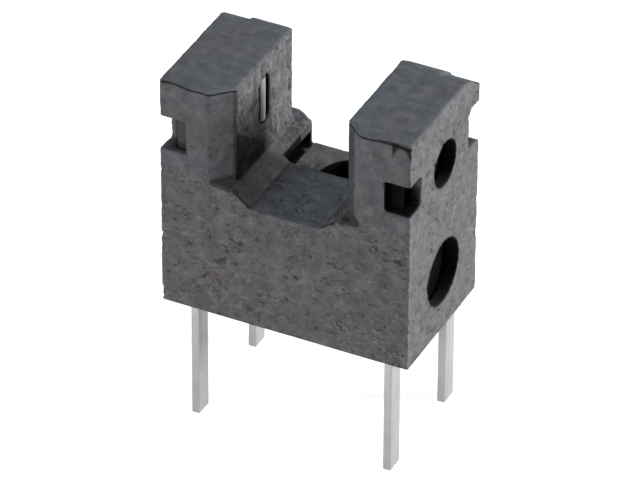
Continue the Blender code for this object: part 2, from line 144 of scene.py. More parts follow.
# Zones of the moulding, in millimetres of the model's own frame. Both ends are alike, so x is mostly
# taken without its sign. A pair of numbers says where a mask begins and where it is full
zones = {
    "halfLength": round(cadBox[1][0] / mm, 3),
    "halfWidth": round(cadBox[1][1] / mm, 3),
    "slotSide": 1.82,            # the towers' inner faces, along X
    "chamferStart": 1.85,        # where they turn into the front chamfers, along Y
    "pockets": ((2.27, 0.0, -1.0), (3.73, 2.16, 7.65)),     # seen through the notches and holes
    "pocketChamfer": (0.57, 0.69, 2.1538),      # the plane that cuts a pocket's corner: x, y and offset
    "slits": ((1.91, 0.0, 5.68), (2.35, 0.36, 7.46)),
    "notches": ((3.20, 1.60, 5.50), (4.20, 2.50, 6.98)),
    "floorOpenings": (
        ((-0.56, 0.38, 1.70), (1.43, 2.20, 3.64)),          # hole in the floor
        ((-2.15, 0.38, 3.66), (-1.36, 2.32, 4.17)),         # relief under the emitter
        ((-1.47, 0.38, 3.90), (-1.36, 1.60, 4.43)),         # and the wall above it, painted black as shade
    ),
    "endHoles": ((6.06, 0.77), (2.13, 1.095)),  # height and radius
    "endHoleFloor": 3.65,        # the holes are open from here out
    "endHoleBlack": 0.88,        # a little light gets in
    "openingEdge": (-0.02, 0.05),
    "emitterShelter": (0.06, 0.34),     # painted shade, growing inwards from the outer faces, in the notches
    "detectorShelter": (0.02, 0.10),
    "litHeight": (6.05, 6.45),   # painted light: the detector's front notch is paler high up, near the end
    "litDepth": (0.10, 0.45),
    "steep": (0.7, 0.9),         # these five are parts of the normal, for faces that look that way
    "frontNormal": (0.5, 0.75),
    "rampNormal": (0.45, 0.6),
    "rampUpward": (0.6, 0.75),
    "floorUpward": (0.8, 0.95),
    "frontFrom": (1.6, 1.8),
    "endFrom": (3.9, 4.05),
    "innerTo": (2.0, 2.15),
    "innerFrom": (4.6, 4.8),     # upwards
    "floorTop": 4.3,
    "floorSide": 1.9,
    "floorLow": 3.9,             # under this lies the floor's rear part, which has the plain colour
    "rampFoot": (4.2, 4.3),
    "rampTop": 4.9,
    "baseTop": (4.4, 5.2),       # the front is coarser below than on the towers
    "cornerLine": (6.44, 0.74),  # height at the chamfer, and its fall along Y, of the painted shadow on the emitter's inner face
    "cornerBlur": (-0.05, 0.05),
    "recessWall": -1.41,         # along X
    "recessFrom": (4.05, 4.15),
    "rampLightToShade": (0.1, 1.2),    # along Y, where the emitter's ramp turns from painted light to painted shade
    "palestFrom": (-1.8, -0.8),        # and where its painted light is palest
    "palestTo": (-0.4, 0.6),
    "footTop": (5.0, 5.5),       # painted shade low on the emitter's inner face, at its rear foot
    "footFrom": (-0.3, 0.3),
    "floorShade": (-1.5, 0.3),  # along X; painted shade darkens the slot's floor at the front left, where the emitter's tower shades it
    "edgeHighlightFrom": (2.16, 2.38),
    "ledge": 4.78,               # height of the steps at the chamfers' feet
    "ledgeDepth": (1.60, 1.72),
    "ledgeFrom": (1.70, 1.80),
    "ledgeBlur": (0.03, 0.10),
    "lipFrom": (2.20, 2.34),
    "chip": (3.84, 7.50),        # the detector's top front edge is nicked outside this oval
    "chipRadii": (0.26, 0.44),
    "chipRim": (0.95, 1.10),     # of the oval
    "chipHeight": (7.52, 7.72),
    "chipTop": (8.02, 8.07),
    "chipFrom": (2.3, 2.4),
    "edgeDark": (0.09, 0.17),    # round the towers' inner front edges, on the emitter's
    "edgeFaint": (0.30, 0.60),
    "edgeDetector": (0.36, 0.58),       # and on the detector's
    "edgeFoot": (4.84, 4.96),
    "edgeTop": (7.90, 8.00),
}


def boxDistance(points, low, high):
    # Negative inside the box
    low, high = np.array(low), np.array(high)
    return (np.abs(points - (low + high) / 2) - (high - low) / 2).max(axis=1)


def smoothStep(value, start, end):
    t = np.clip((value - start) / (end - start), 0.0, 1.0)
    return t * t * (3 - 2 * t)


def openingMask(points, normals):
    # Painted shade, black in the pin holes, the slits, the floor's openings and deep in the notches, partly
    # the smooth walls the pins leave; it grows inwards from the notches' outer faces and is paler where
    # light reaches in
    x, y, z = points.T
    folded = np.column_stack((np.abs(x), np.abs(y), z))
    depth = zones["halfLength"] - folded[:, 0]
    inward, sideways, offset = zones["pocketChamfer"]
    chamfer = (depth * inward + folded[:, 1] * sideways - offset) / math.hypot(inward, sideways)
    distance = np.maximum(boxDistance(folded, *zones["pockets"]), chamfer)
    distance = np.minimum(distance, boxDistance(folded, *zones["slits"]))
    for low, high in zones["floorOpenings"]:
        distance = np.minimum(distance, boxDistance(points, low, high))
    opening = 1 - smoothStep(distance, *zones["openingEdge"])
    for height, radius in zones["endHoles"]:
        ring = np.maximum(np.hypot(y, z - height) - radius, zones["endHoleFloor"] - folded[:, 0])
        hole = zones["endHoleBlack"] * (1 - smoothStep(ring, *zones["openingEdge"]))
        opening = np.maximum(opening, hole)
    shelter = np.minimum(depth, zones["halfWidth"] - folded[:, 1])
    emitterSide = smoothStep(shelter, *zones["emitterShelter"]) * np.where(normals[:, 2] > 0.7, 0.6, 1.0)
    lit = smoothStep(z, *zones["litHeight"]) * (1 - smoothStep(depth, *zones["litDepth"]))
    detectorSide = smoothStep(shelter, *zones["detectorShelter"]) * (1 - 0.75 * lit)
    detectorSide = np.where(y < 0, detectorSide, emitterSide)
    inNotch = np.where(x > 0, detectorSide, emitterSide) * (boxDistance(folded, *zones["notches"]) < 0)
    return np.maximum(opening, inNotch)


def faceMasks(points, normals):
    # Which face a point lies on, told by its place and by the way it looks
    x, y, z = points.T
    outward = np.abs(x)
    across = np.abs(normals[:, 0])
    sideways = smoothStep(across, *zones["steep"])
    inner = sideways * (1 - smoothStep(outward, *zones["innerTo"])) * smoothStep(z, *zones["innerFrom"])
    floor = smoothStep(normals[:, 2], *zones["floorUpward"])
    return {
        "front": smoothStep(-normals[:, 1], *zones["frontNormal"]) * smoothStep(-y, *zones["frontFrom"]),
        "rear": smoothStep(normals[:, 1], *zones["frontNormal"]) * smoothStep(y, *zones["frontFrom"]),
        "end": sideways * smoothStep(outward, *zones["endFrom"]),
        "inner": inner,
        "ramp": smoothStep(across, *zones["rampNormal"]) * smoothStep(normals[:, 2], *zones["rampUpward"]),
        "floor": floor * (z < zones["floorTop"]) * (outward < zones["floorSide"]),
    }


def paintedSlotLightAndShade(points, normals, face):
    # Painted light and shade in the slot: paler on the emitter's ramp front and the chamfers' ledges, palest
    # at the ramp's middle; painted shade on the ramp's rear, the relief's wall, the emitter inner face's
    # rear foot, the detector's ramp and the floor's front left
    x, y, z = points.T
    low = z < zones["rampTop"]
    rearward = smoothStep(y, *zones["rampLightToShade"])
    emitterRamp = face["ramp"] * (x < 0) * smoothStep(z, *zones["rampFoot"]) * low
    paintedLight = emitterRamp * (1 - rearward)
    ledge = smoothStep(normals[:, 2], *zones["steep"]) * (np.abs(z - zones["ledge"]) < 0.08) * (y < -1.8)
    paintedLight = np.maximum(paintedLight, ledge * (np.abs(x) > 1.78) * (np.abs(x) < 2.6))
    palestLight = emitterRamp * smoothStep(y, *zones["palestFrom"]) * (1 - smoothStep(y, *zones["palestTo"]))
    recessSide = smoothStep(normals[:, 0], *zones["steep"]) * (np.abs(x - zones["recessWall"]) < 0.06)
    recessSide *= smoothStep(z, *zones["recessFrom"]) * low
    foot = face["inner"] * (x < 0) * (1 - smoothStep(z, *zones["footTop"]))
    foot *= smoothStep(y, *zones["footFrom"])
    detectorRamp = face["ramp"] * (x > 0) * low
    leftFloor = face["floor"] * (1 - smoothStep(x, *zones["floorShade"])) * (y < 0.3)
    slide = np.maximum.reduce((
        emitterRamp * rearward, recessSide, 0.6 * foot, 0.8 * detectorRamp, 0.45 * leftFloor))
    return paintedLight, palestLight, slide


def nickLinesAndShadeMask(points, ramp):
    # Dark lines where faces meet: painted shade in the steps at the chamfers' feet, dark lines on the ramps'
    # front lips and the towers' inner front edges, and a nick in the detector's top front edge
    x, y, z = points.T
    outward = np.abs(x)
    width = np.clip((2.55 - outward) / 0.70, 0.0, 1.0)
    step = smoothStep(zones["halfLength"] - outward, *zones["ledgeDepth"])
    step *= smoothStep(-y, *zones["ledgeFrom"]) * (outward > 1.80)
    step *= 1 - smoothStep(np.abs(z - zones["ledge"] - 0.04) - 0.12 * width, *zones["ledgeBlur"])
    lip = ramp * (z < zones["rampTop"]) * smoothStep(-y, *zones["lipFrom"]) * np.where(x < 0, 0.6, 0.8)
    (chipX, chipZ), (radiusX, radiusZ) = zones["chip"], zones["chipRadii"]
    oval = np.hypot((x - chipX) / radiusX, (z - chipZ) / radiusZ)
    chip = smoothStep(oval, *zones["chipRim"]) * (x > 3.55)
    chip *= smoothStep(z, *zones["chipHeight"]) * smoothStep(-y, *zones["chipFrom"])
    chip *= 1 - smoothStep(z, *zones["chipTop"])
    fromEdge = np.hypot(outward - zones["slotSide"], y + zones["chamferStart"])
    emitterEdge = 1 - 0.75 * smoothStep(fromEdge, *zones["edgeDark"])
    emitterEdge -= 0.25 * smoothStep(fromEdge, *zones["edgeFaint"])
    detectorEdge = 1 - smoothStep(fromEdge, *zones["edgeDetector"])
    edge = 0.66 * np.where(x < 0, emitterEdge, detectorEdge) * smoothStep(z, *zones["edgeFoot"])
    edge *= 1 - smoothStep(z, *zones["edgeTop"])
    return np.maximum.reduce((chip, 0.8 * step, lip, edge))


def zoneMasks(mesh):
    # One attribute for each zone, for the skin's tree and the material to read
    points = np.empty(len(mesh.vertices) * 3)
    normals = np.empty(len(mesh.vertices) * 3)
    mesh.vertices.foreach_get("co", points)
    mesh.vertices.foreach_get("normal", normals)
    points = points.reshape(-1, 3) / mm
    normals = normals.reshape(-1, 3)
    x, y, z = points.T
    opening = openingMask(points, normals)
    solid = 1 - opening
    face = faceMasks(points, normals)
    paintedLight, palestLight, slide = paintedSlotLightAndShade(points, normals, face)
    # Painted shadow: the emitter's inner face is darkened low at its front, where the detector's tower
    # shades it
    height, fall = zones["cornerLine"]
    underLine = height - fall * (y + zones["chamferStart"]) - z
    corner = face["inner"] * (x < 0) * smoothStep(underLine, *zones["cornerBlur"])
    base = 1 - smoothStep(z, *zones["baseTop"])
    rough = (face["front"] + face["rear"] * 0.6) * (0.35 + 0.60 * base)
    rough = rough + face["end"] * 0.8 + face["inner"] + face["ramp"] * 0.7 + face["floor"] * 0.7 + 0.08
    masks = {
        "opening": opening,
        "rough": np.clip(rough, 0, 1) * solid * (1 - 0.85 * corner),
        "streak": face["inner"],
        "nick": nickLinesAndShadeMask(points, face["ramp"]),
        "front": smoothStep(-normals[:, 1], 0.3, 0.5),
        "pale": np.clip(face["end"] + face["inner"], 0, 1) * solid,
        # Painted light on the emitter's ramp and the ledges; painted shade in the slot and low on the
        # emitter's inner face
        "paintedLight": paintedLight * solid,
        "palestLight": palestLight,
        "slide": slide,
        "corner": corner * solid,
        "worn": face["end"] * smoothStep(-y, *zones["edgeHighlightFrom"]) * solid,       # painted highlight along the ends' front edges
        "slotFloor": face["floor"] * solid * (z > zones["floorLow"]),
    }
    for name, values in masks.items():
        layer = mesh.attributes.new(name, "FLOAT", "POINT")
        layer.data.foreach_set("value", values.astype(np.float32))


def mouldedSkinTree(values):
    # Hollows, dents, pits and the seams between low bumps, all pressed inwards along the normal.
    # Where dents, pits and rims lie is kept as attributes, for the material's painted shade in the dents and
    # pits and painted highlight on the rims
    tree = bpy.data.node_groups.new("mouldedSkin", "GeometryNodeTree")
    tree.interface.new_socket("Geometry", in_out="INPUT", socket_type="NodeSocketGeometry")
    tree.interface.new_socket("Geometry", in_out="OUTPUT", socket_type="NodeSocketGeometry")
    for name in values:
        tree.interface.new_socket(name, in_out="INPUT", socket_type="NodeSocketFloat")
    tree.interface.new_socket("Finish", in_out="INPUT", socket_type="NodeSocketMaterial")
    swellLow, swellHigh = housing["swellBand"]
    dentLow, dentHigh = housing["dentBand"]
    rimStart, rimFull, rimFade, rimEnd = housing["rimBand"]
    patchLow, patchHigh = housing["patchBand"]
    pitFloor, pitEdge = housing["pitBand"]
    cobbleLow, cobbleHigh = housing["cobbleBand"]
    sizes = addNode(tree, "NodeGroupInput")
    place = addNode(tree, "GeometryNodeInputPosition")
    normal = addNode(tree, "GeometryNodeInputNormal")
    zone = {}
    for name in ("rough", "streak", "pale"):
        zone[name] = addNode(
            tree, "GeometryNodeInputNamedAttribute", {"data_type": "FLOAT", "Name": name}).outputs[0]
    inMillimetres = addNode(
        tree, "ShaderNodeVectorMath", {"operation": "SCALE", "Scale": 1 / mm}, {0: place.outputs[0]})
    upright = addNode(
        tree, "ShaderNodeMapRange", {},
        {"Value": zone["streak"], "To Min": sizes.outputs["Flattening"],
         "To Max": sizes.outputs["Streaking"]})
    axes = addNode(tree, "ShaderNodeCombineXYZ", {0: 1.0, 1: 1.0}, {2: upright.outputs[0]})
    drawnOut = addNode(
        tree, "ShaderNodeVectorMath", {"operation": "MULTIPLY"},
        {0: inMillimetres.outputs[0], 1: axes.outputs[0]})
    spot = addNode(
        tree, "ShaderNodeVectorMath", {"operation": "ADD"},
        {0: drawnOut.outputs[0], 1: sizes.outputs["Seed"]})
    frequency = {}
    for name in ("Swell Size", "Dent Size", "Pit Spacing", "Cobble Size"):
        frequency[name] = addNode(
            tree, "ShaderNodeMath", {"operation": "DIVIDE", 0: 1.0}, {1: sizes.outputs[name]}).outputs[0]
    swell = addNode(
        tree, "ShaderNodeTexNoise", {"Detail": 2.0, "Roughness": 0.55},
        {"Vector": spot.outputs[0], "Scale": frequency["Swell Size"]})
    broad = addNode(
        tree, "ShaderNodeMapRange",
        {"interpolation_type": "SMOOTHSTEP", "From Min": swellLow, "From Max": swellHigh},
        {"Value": swell.outputs[0]})
    marks = addNode(
        tree, "ShaderNodeTexNoise", {"Detail": 1.0, "Roughness": 0.5, "Distortion": 0.8},
        {"Vector": spot.outputs[0], "Scale": frequency["Dent Size"]})
    dent = addNode(
        tree, "ShaderNodeMapRange",
        {"interpolation_type": "SMOOTHSTEP", "From Min": dentLow, "From Max": dentHigh},
        {"Value": marks.outputs[0]})
    slope = addNode(
        tree, "ShaderNodeMapRange",
        {"interpolation_type": "SMOOTHSTEP", "From Min": rimStart, "From Max": rimFull},
        {"Value": marks.outputs[0]})
    rim = addNode(
        tree, "ShaderNodeMapRange",
        {"interpolation_type": "SMOOTHSTEP", "From Min": rimFade, "From Max": rimEnd,
         "To Min": 1.0, "To Max": 0.0},
        {"Value": marks.outputs[0]})
    band = addNode(
        tree, "ShaderNodeMath", {"operation": "MULTIPLY"}, {0: slope.outputs[0], 1: rim.outputs[0]})
    patchy = addNode(
        tree, "ShaderNodeMapRange", {"From Min": patchLow, "From Max": patchHigh, "To Min": 0.25},
        {"Value": swell.outputs[0]})
    dents = addNode(
        tree, "ShaderNodeMath", {"operation": "MULTIPLY"}, {0: dent.outputs[0], 1: patchy.outputs[0]})
    cells = addNode(
        tree, "ShaderNodeTexVoronoi", {"Randomness": 1.0},
        {"Vector": spot.outputs[0], "Scale": frequency["Pit Spacing"]})
    chance = addNode(tree, "ShaderNodeSeparateXYZ", {}, {0: cells.outputs["Color"]})
    chosen = addNode(
        tree, "ShaderNodeMath", {"operation": "LESS_THAN"},
        {0: chance.outputs[0], 1: sizes.outputs["Pit Share"]})
    hollow = addNode(
        tree, "ShaderNodeMapRange",
        {"interpolation_type": "SMOOTHSTEP", "From Min": pitFloor, "From Max": pitEdge,
         "To Min": 1.0, "To Max": 0.0},
        {"Value": cells.outputs["Distance"]})
    pits = addNode(
        tree, "ShaderNodeMath", {"operation": "MULTIPLY"}, {0: hollow.outputs[0], 1: chosen.outputs[0]})
    bumps = addNode(
        tree, "ShaderNodeTexVoronoi", {"Randomness": 1.0},
        {"Vector": spot.outputs[0], "Scale": frequency["Cobble Size"]})
    between = addNode(
        tree, "ShaderNodeMapRange",
        {"interpolation_type": "SMOOTHSTEP", "From Min": cobbleLow, "From Max": cobbleHigh},
        {"Value": bumps.outputs["Distance"]})
    cobbles = addNode(
        tree, "ShaderNodeMath", {"operation": "MULTIPLY"}, {0: between.outputs[0], 1: zone["pale"]})
    depth = None
    for pattern, name in (
            (broad, "Swell Depth"), (dents, "Dent Depth"), (pits, "Pit Depth"), (cobbles, "Cobble Depth")):
        links = {0: pattern.outputs[0], 1: sizes.outputs[name]}
        if depth:
            links[2] = depth.outputs[0]
        depth = addNode(tree, "ShaderNodeMath", {"operation": "MULTIPLY_ADD", 2: 0.0}, links)
    inwards = addNode(
        tree, "ShaderNodeMath", {"operation": "MULTIPLY"}, {0: depth.outputs[0], 1: zone["rough"]})
    flipped = addNode(
        tree, "ShaderNodeMath", {"operation": "MULTIPLY", 1: -1.0}, {0: inwards.outputs[0]})
    offset = addNode(
        tree, "ShaderNodeVectorMath", {"operation": "SCALE"},
        {0: normal.outputs[0], "Scale": flipped.outputs[0]})
    moved = addNode(
        tree, "GeometryNodeSetPosition", {},
        {"Geometry": sizes.outputs["Geometry"], "Offset": offset.outputs[0]})
    deepest = addNode(
        tree, "ShaderNodeMath", {"operation": "MAXIMUM"}, {0: dents.outputs[0], 1: pits.outputs[0]})
    sparse = addNode(
        tree, "ShaderNodeMath", {"operation": "MULTIPLY"}, {0: band.outputs[0], 1: patchy.outputs[0]})
    marked = moved.outputs[0]
    for name, amount in (("hollowShade", deepest), ("rims", sparse)):
        kept = addNode(
            tree, "ShaderNodeMath", {"operation": "MULTIPLY"}, {0: amount.outputs[0], 1: zone["rough"]})
        marked = addNode(
            tree, "GeometryNodeStoreNamedAttribute", {"data_type": "FLOAT", "domain": "POINT", "Name": name},
            {"Geometry": marked, "Value": kept.outputs[0]}).outputs[0]
    real = addNode(tree, "GeometryNodeRealizeInstances", {}, {0: marked})
    finish = addNode(
        tree, "GeometryNodeSetMaterial", {},
        {"Geometry": real.outputs[0], "Material": sizes.outputs["Finish"]})
    addNode(tree, "NodeGroupOutput", {}, {0: finish.outputs[0]})
    return tree


def giveInputs(modifier, values):
    # A modifier's input is set by its socket's identifier
    for item in modifier.node_group.interface.items_tree:
        if item.in_out == "INPUT" and item.name in values:
            modifier[item.identifier] = values[item.name]


plastic = {
    "smooth": "#5c5e61",         # polished tool: tops, notches
    "smoothCool": "#586066",     # its bluer clouds
    "eroded": "#5f5e60",         # spark-eroded front and rear
    "pale": "#666466",           # coarser ends and inner faces, which scatter more
    "paintedLight": "#7d7a7d",         # painted light on the ramp below the emitter and on the chamfers' ledges, which lie in shade
    "palestLight": "#9c979b",        # painted light, palest at the ramp's middle
    "slide": "#434144",          # painted shade: the ramp's rear end, the relief's wall, the emitter inner face's rear foot, the detector's ramp and the slot's floor at the front left
    "floor": "#62686e",          # of the slot, greyer and cooler
    "corner": "#38363a",         # painted shadow low at the front of the emitter's inner face, where the detector's tower shades it
    "warm": "#635e60",           # browner clouds on the eroded faces
    "speck": "#757576",
    "rim": "#868687",            # painted highlight: round a dent, along the ends' front edges, on bright strokes and beads
    # hollow: darker tone at random, and painted shade in dents, pits, dark strokes and beads
    "hollow": "#232325",
    "opening": "#0c0c0d",        # black: the smooth walls the pins leave, and painted shade deep in the openings
    "edgeShadeHeight": 7.965,         # millimetres; painted shade, a dark line under the towers' top front edges
    "edgeShadeWidth": 0.070,
    "edgeShadeWander": 0.35,
    "roughness": 0.80,
    "openingRoughness": 0.60,
    "specular": 0.03,
    "cloudSize": 1.43,           # millimetres, and so are the next five
    "blotchSize": 0.385,
    "grainSize": 0.125,          # the spark's own grit, drawn coarser than it is, so that it shows
    "strokeSize": 0.588,
    "strokeGapSize": 0.294,
    "beadSize": 0.263,
    "bumpHeight": 0.04 * mm,
    "patches": (
        # name, its noise, the levels where it begins and is full, strength
        ("tint", "cloud", 0.42, 0.58, 1.0),
        ("warmth", "cloud", 0.42, 0.62, 0.8),
        ("light", "blotch", 0.50, 0.74, 0.6),
        ("dark", "blotch", 0.47, 0.27, 0.3),
        ("fleck", "grain", 0.52, 0.72, 0.28),
        ("grime", "grain", 0.45, 0.30, 0.18),
    ),
    "strokes": (("dark", 0.500, 0.036, 0.50), ("bright", 0.560, 0.030, 0.28)),  # level, spread, strength
    "strokeGaps": (0.58, 0.70),
    "beads": (("bright", 0.55, 0.67, 0.42), ("dark", 0.46, 0.33, 0.38)),        # begins, full, strength
    "strengths": {"worn": 0.35, "hollowShade": 0.65, "rims": 0.45, "nick": 0.8, "seam": 0.75},
}


def mouldedPlastic():
    # Glass-filled black thermoplastic off a spark-eroded tool: matt and greyish, black with painted shade in
    # the openings
    material, tree, shader = newMaterial("sparkErodedBlackThermoplastic")
    place = addNode(tree, "ShaderNodeTexCoord")
    spot = addNode(
        tree, "ShaderNodeMapping", {"Scale": (1 / mm, 1 / mm, 1 / mm)}, {"Vector": place.outputs["Object"]})
    mask = {}
    for name in (
            "opening", "rough", "streak", "pale", "paintedLight", "palestLight", "slide", "corner", "slotFloor",
            "worn", "front", "nick", "hollowShade", "rims"):
        mask[name] = addNode(tree, "ShaderNodeAttribute", {"attribute_name": name}).outputs["Fac"]
    noise = {}
    for name, detail, roughness in (("cloud", 3.0, 0.5), ("blotch", 2.0, 0.6), ("grain", 3.0, 0.6)):
        noise[name] = addNode(
            tree, "ShaderNodeTexNoise",
            {"Scale": 1 / plastic[name + "Size"], "Detail": detail, "Roughness": roughness},
            {"Vector": spot.outputs[0]}).outputs[0]
    patch = {}
    for name, source, start, end, strength in plastic["patches"]:
        patch[name] = addNode(
            tree, "ShaderNodeMapRange", {"From Min": start, "From Max": end, "To Max": strength},
            {"Value": noise[source]}).outputs[0]
    for name in ("warmth", "fleck", "grime"):
        patch[name] = addNode(
            tree, "ShaderNodeMath", {"operation": "MULTIPLY"}, {0: patch[name], 1: mask["rough"]}).outputs[0]
    upright = addNode(           # strokes lie along the faces, and upwards on the inner ones, as dents do
        tree, "ShaderNodeMapRange", {"To Min": 1.8, "To Max": 0.8}, {"Value": mask["streak"]})
    along = addNode(tree, "ShaderNodeCombineXYZ", {0: 1.0, 1: 1.0}, {2: upright.outputs[0]})
    drawnOut = addNode(
        tree, "ShaderNodeVectorMath", {"operation": "MULTIPLY"}, {0: spot.outputs[0], 1: along.outputs[0]})
    contour = addNode(
        tree, "ShaderNodeTexNoise",
        {"Scale": 1 / plastic["strokeSize"], "Detail": 1.5, "Roughness": 0.55, "Distortion": 0.6},
        {"Vector": drawnOut.outputs[0]})
    broken = addNode(
        tree, "ShaderNodeTexNoise", {"Scale": 1 / plastic["strokeGapSize"], "Detail": 1.0, "Roughness": 0.5},
        {"Vector": drawnOut.outputs[0]})
    gapStart, gapEnd = plastic["strokeGaps"]
    gate = addNode(
        tree, "ShaderNodeMapRange", {"From Min": gapStart, "From Max": gapEnd}, {"Value": broken.outputs[0]})
    gated = addNode(
        tree, "ShaderNodeMath", {"operation": "MULTIPLY"}, {0: gate.outputs[0], 1: mask["rough"]})
    # Strokes are bumped and coloured too: the dark colour is painted shade in the marks, the bright one a
    # painted highlight beside them
    stroke = {}
    for name, centre, width, strength in plastic["strokes"]:
        offCentre = addNode(
            tree, "ShaderNodeMath", {"operation": "SUBTRACT", 1: centre}, {0: contour.outputs[0]})
        apart = addNode(tree, "ShaderNodeMath", {"operation": "ABSOLUTE"}, {0: offCentre.outputs[0]})
        line = addNode(
            tree, "ShaderNodeMapRange",
            {"interpolation_type": "SMOOTHSTEP", "From Min": width, "From Max": width / 3,
             "To Max": strength},
            {"Value": apart.outputs[0]})
        stroke[name] = addNode(
            tree, "ShaderNodeMath", {"operation": "MULTIPLY"}, {0: line.outputs[0], 1: gated.outputs[0]})
    # Beads on the inner faces are bumped and coloured too: bright ones a painted highlight, dark ones
    # painted shade
    beads = addNode(
        tree, "ShaderNodeTexNoise",
        {"Scale": 1 / plastic["beadSize"], "Detail": 1.0, "Roughness": 0.5, "Distortion": 0.2},
        {"Vector": drawnOut.outputs[0]})
    bead = {}
    for name, start, end, strength in plastic["beads"]:
        spots = addNode(
            tree, "ShaderNodeMapRange",
            {"interpolation_type": "SMOOTHSTEP", "From Min": start, "From Max": end, "To Max": strength},
            {"Value": beads.outputs[0]})
        uneven = addNode(
            tree, "ShaderNodeMath", {"operation": "MULTIPLY"}, {0: spots.outputs[0], 1: mask["streak"]})
        bead[name] = addNode(
            tree, "ShaderNodeMath", {"operation": "MULTIPLY"}, {0: uneven.outputs[0], 1: mask["rough"]})
    axes = addNode(tree, "ShaderNodeSeparateXYZ", {}, {0: spot.outputs[0]})
    # Painted shade: a thin dark line that wanders under the towers' top front edges
    wander = addNode(
        tree, "ShaderNodeMath", {"operation": "MULTIPLY_ADD", 1: plastic["edgeShadeWander"]},
        {0: noise["cloud"], 2: axes.outputs[2]})
    level = plastic["edgeShadeHeight"] + plastic["edgeShadeWander"] / 2
    fromTop = addNode(
        tree, "ShaderNodeMath", {"operation": "COMPARE", 1: level, 2: plastic["edgeShadeWidth"] / 2},
        {0: wander.outputs[0]})
    seam = addNode(
        tree, "ShaderNodeMath", {"operation": "MULTIPLY"}, {0: fromTop.outputs[0], 1: mask["front"]})
    mask["seam"] = seam.outputs[0]
    faint = {}
    for name, strength in plastic["strengths"].items():
        faint[name] = addNode(
            tree, "ShaderNodeMath", {"operation": "MULTIPLY", 1: strength}, {0: mask[name]}).outputs[0]
    base = addNode(tree, "ShaderNodeRGB")
    base.outputs[0].default_value = linear(plastic["smooth"])
    colour = base.outputs[0]
    # Among these layers, painted light: the emitter's ramp and ledges, rims, the ends' front edges, bright
    # strokes and beads; painted shade: the emitter's inner face, the slot's ramps and floor, dents, pits,
    # dark strokes and beads, the line under the top front edges, the chamfers' steps and the openings
    layers = (                   # each lies over the one before, where its mask is
        ("smoothCool", patch["tint"]), ("eroded", mask["rough"]), ("warm", patch["warmth"]),
        ("pale", mask["pale"]), ("rim", faint["worn"]), ("floor", mask["slotFloor"]),
        ("paintedLight", mask["paintedLight"]), ("palestLight", mask["palestLight"]), ("slide", mask["slide"]),
        ("corner", mask["corner"]), ("speck", patch["light"]), ("hollow", patch["dark"]),
        ("speck", patch["fleck"]), ("hollow", patch["grime"]), ("rim", faint["rims"]),
        ("rim", stroke["bright"].outputs[0]), ("rim", bead["bright"].outputs[0]),
        ("hollow", bead["dark"].outputs[0]), ("hollow", faint["hollowShade"]),
        ("hollow", stroke["dark"].outputs[0]), ("opening", faint["seam"]), ("opening", faint["nick"]),
        ("opening", mask["opening"]),
    )
    for name, amount in layers:
        colour = addNode(
            tree, "ShaderNodeMix", {"data_type": "RGBA", 7: linear(plastic[name])},
            {0: amount, 6: colour}).outputs[2]
    tree.links.new(colour, shader.inputs["Base Color"])
    gloss = addNode(
        tree, "ShaderNodeMapRange",
        {"To Min": plastic["roughness"], "To Max": plastic["openingRoughness"]},
        {"Value": mask["opening"]})
    tree.links.new(gloss.outputs[0], shader.inputs["Roughness"])
    relief = addNode(
        tree, "ShaderNodeMath", {"operation": "MULTIPLY_ADD", 1: 0.35},
        {0: noise["grain"], 2: stroke["bright"].outputs[0]})
    carved = addNode(
        tree, "ShaderNodeMath", {"operation": "SUBTRACT"},
        {0: relief.outputs[0], 1: stroke["dark"].outputs[0]})
    beaded = addNode(
        tree, "ShaderNodeMath", {"operation": "MULTIPLY_ADD", 1: 1.6},
        {0: bead["bright"].outputs[0], 2: carved.outputs[0]})
    bump = addNode(
        tree, "ShaderNodeBump", {"Distance": plastic["bumpHeight"]},
        {"Height": beaded.outputs[0], "Strength": mask["rough"]})
    tree.links.new(bump.outputs[0], shader.inputs["Normal"])
    shader.inputs["IOR"].default_value = 1.5
    shader.inputs["Specular IOR Level"].default_value = plastic["specular"]
    return material


def roundedCrests(points):
    # Each tower's top turns into its rear slope by an arc, a tenth of a millimetre under the CAD's corner
    x, y, z = points.T / mm
    top = cadBox[1][2] / mm
    radius = housing["crestRound"]
    aboveNotch = np.abs(x) > housing["notchStart"]
    start = np.where(x < 0, *housing["crestStarts"]) - housing["crestStep"] * aboveNotch
    along = y - start
    onArc = (along > 0) & (along < housing["crestShare"] * radius)
    drop = radius - np.sqrt(radius ** 2 - np.where(onArc, along, 0.0) ** 2)
    foot = np.where(x < 0, *housing["crestFeet"])
    lowered = np.where(onArc, np.minimum(z, np.maximum(top - drop, foot)), z)
    return np.column_stack((points[:, :2], lowered * mm))


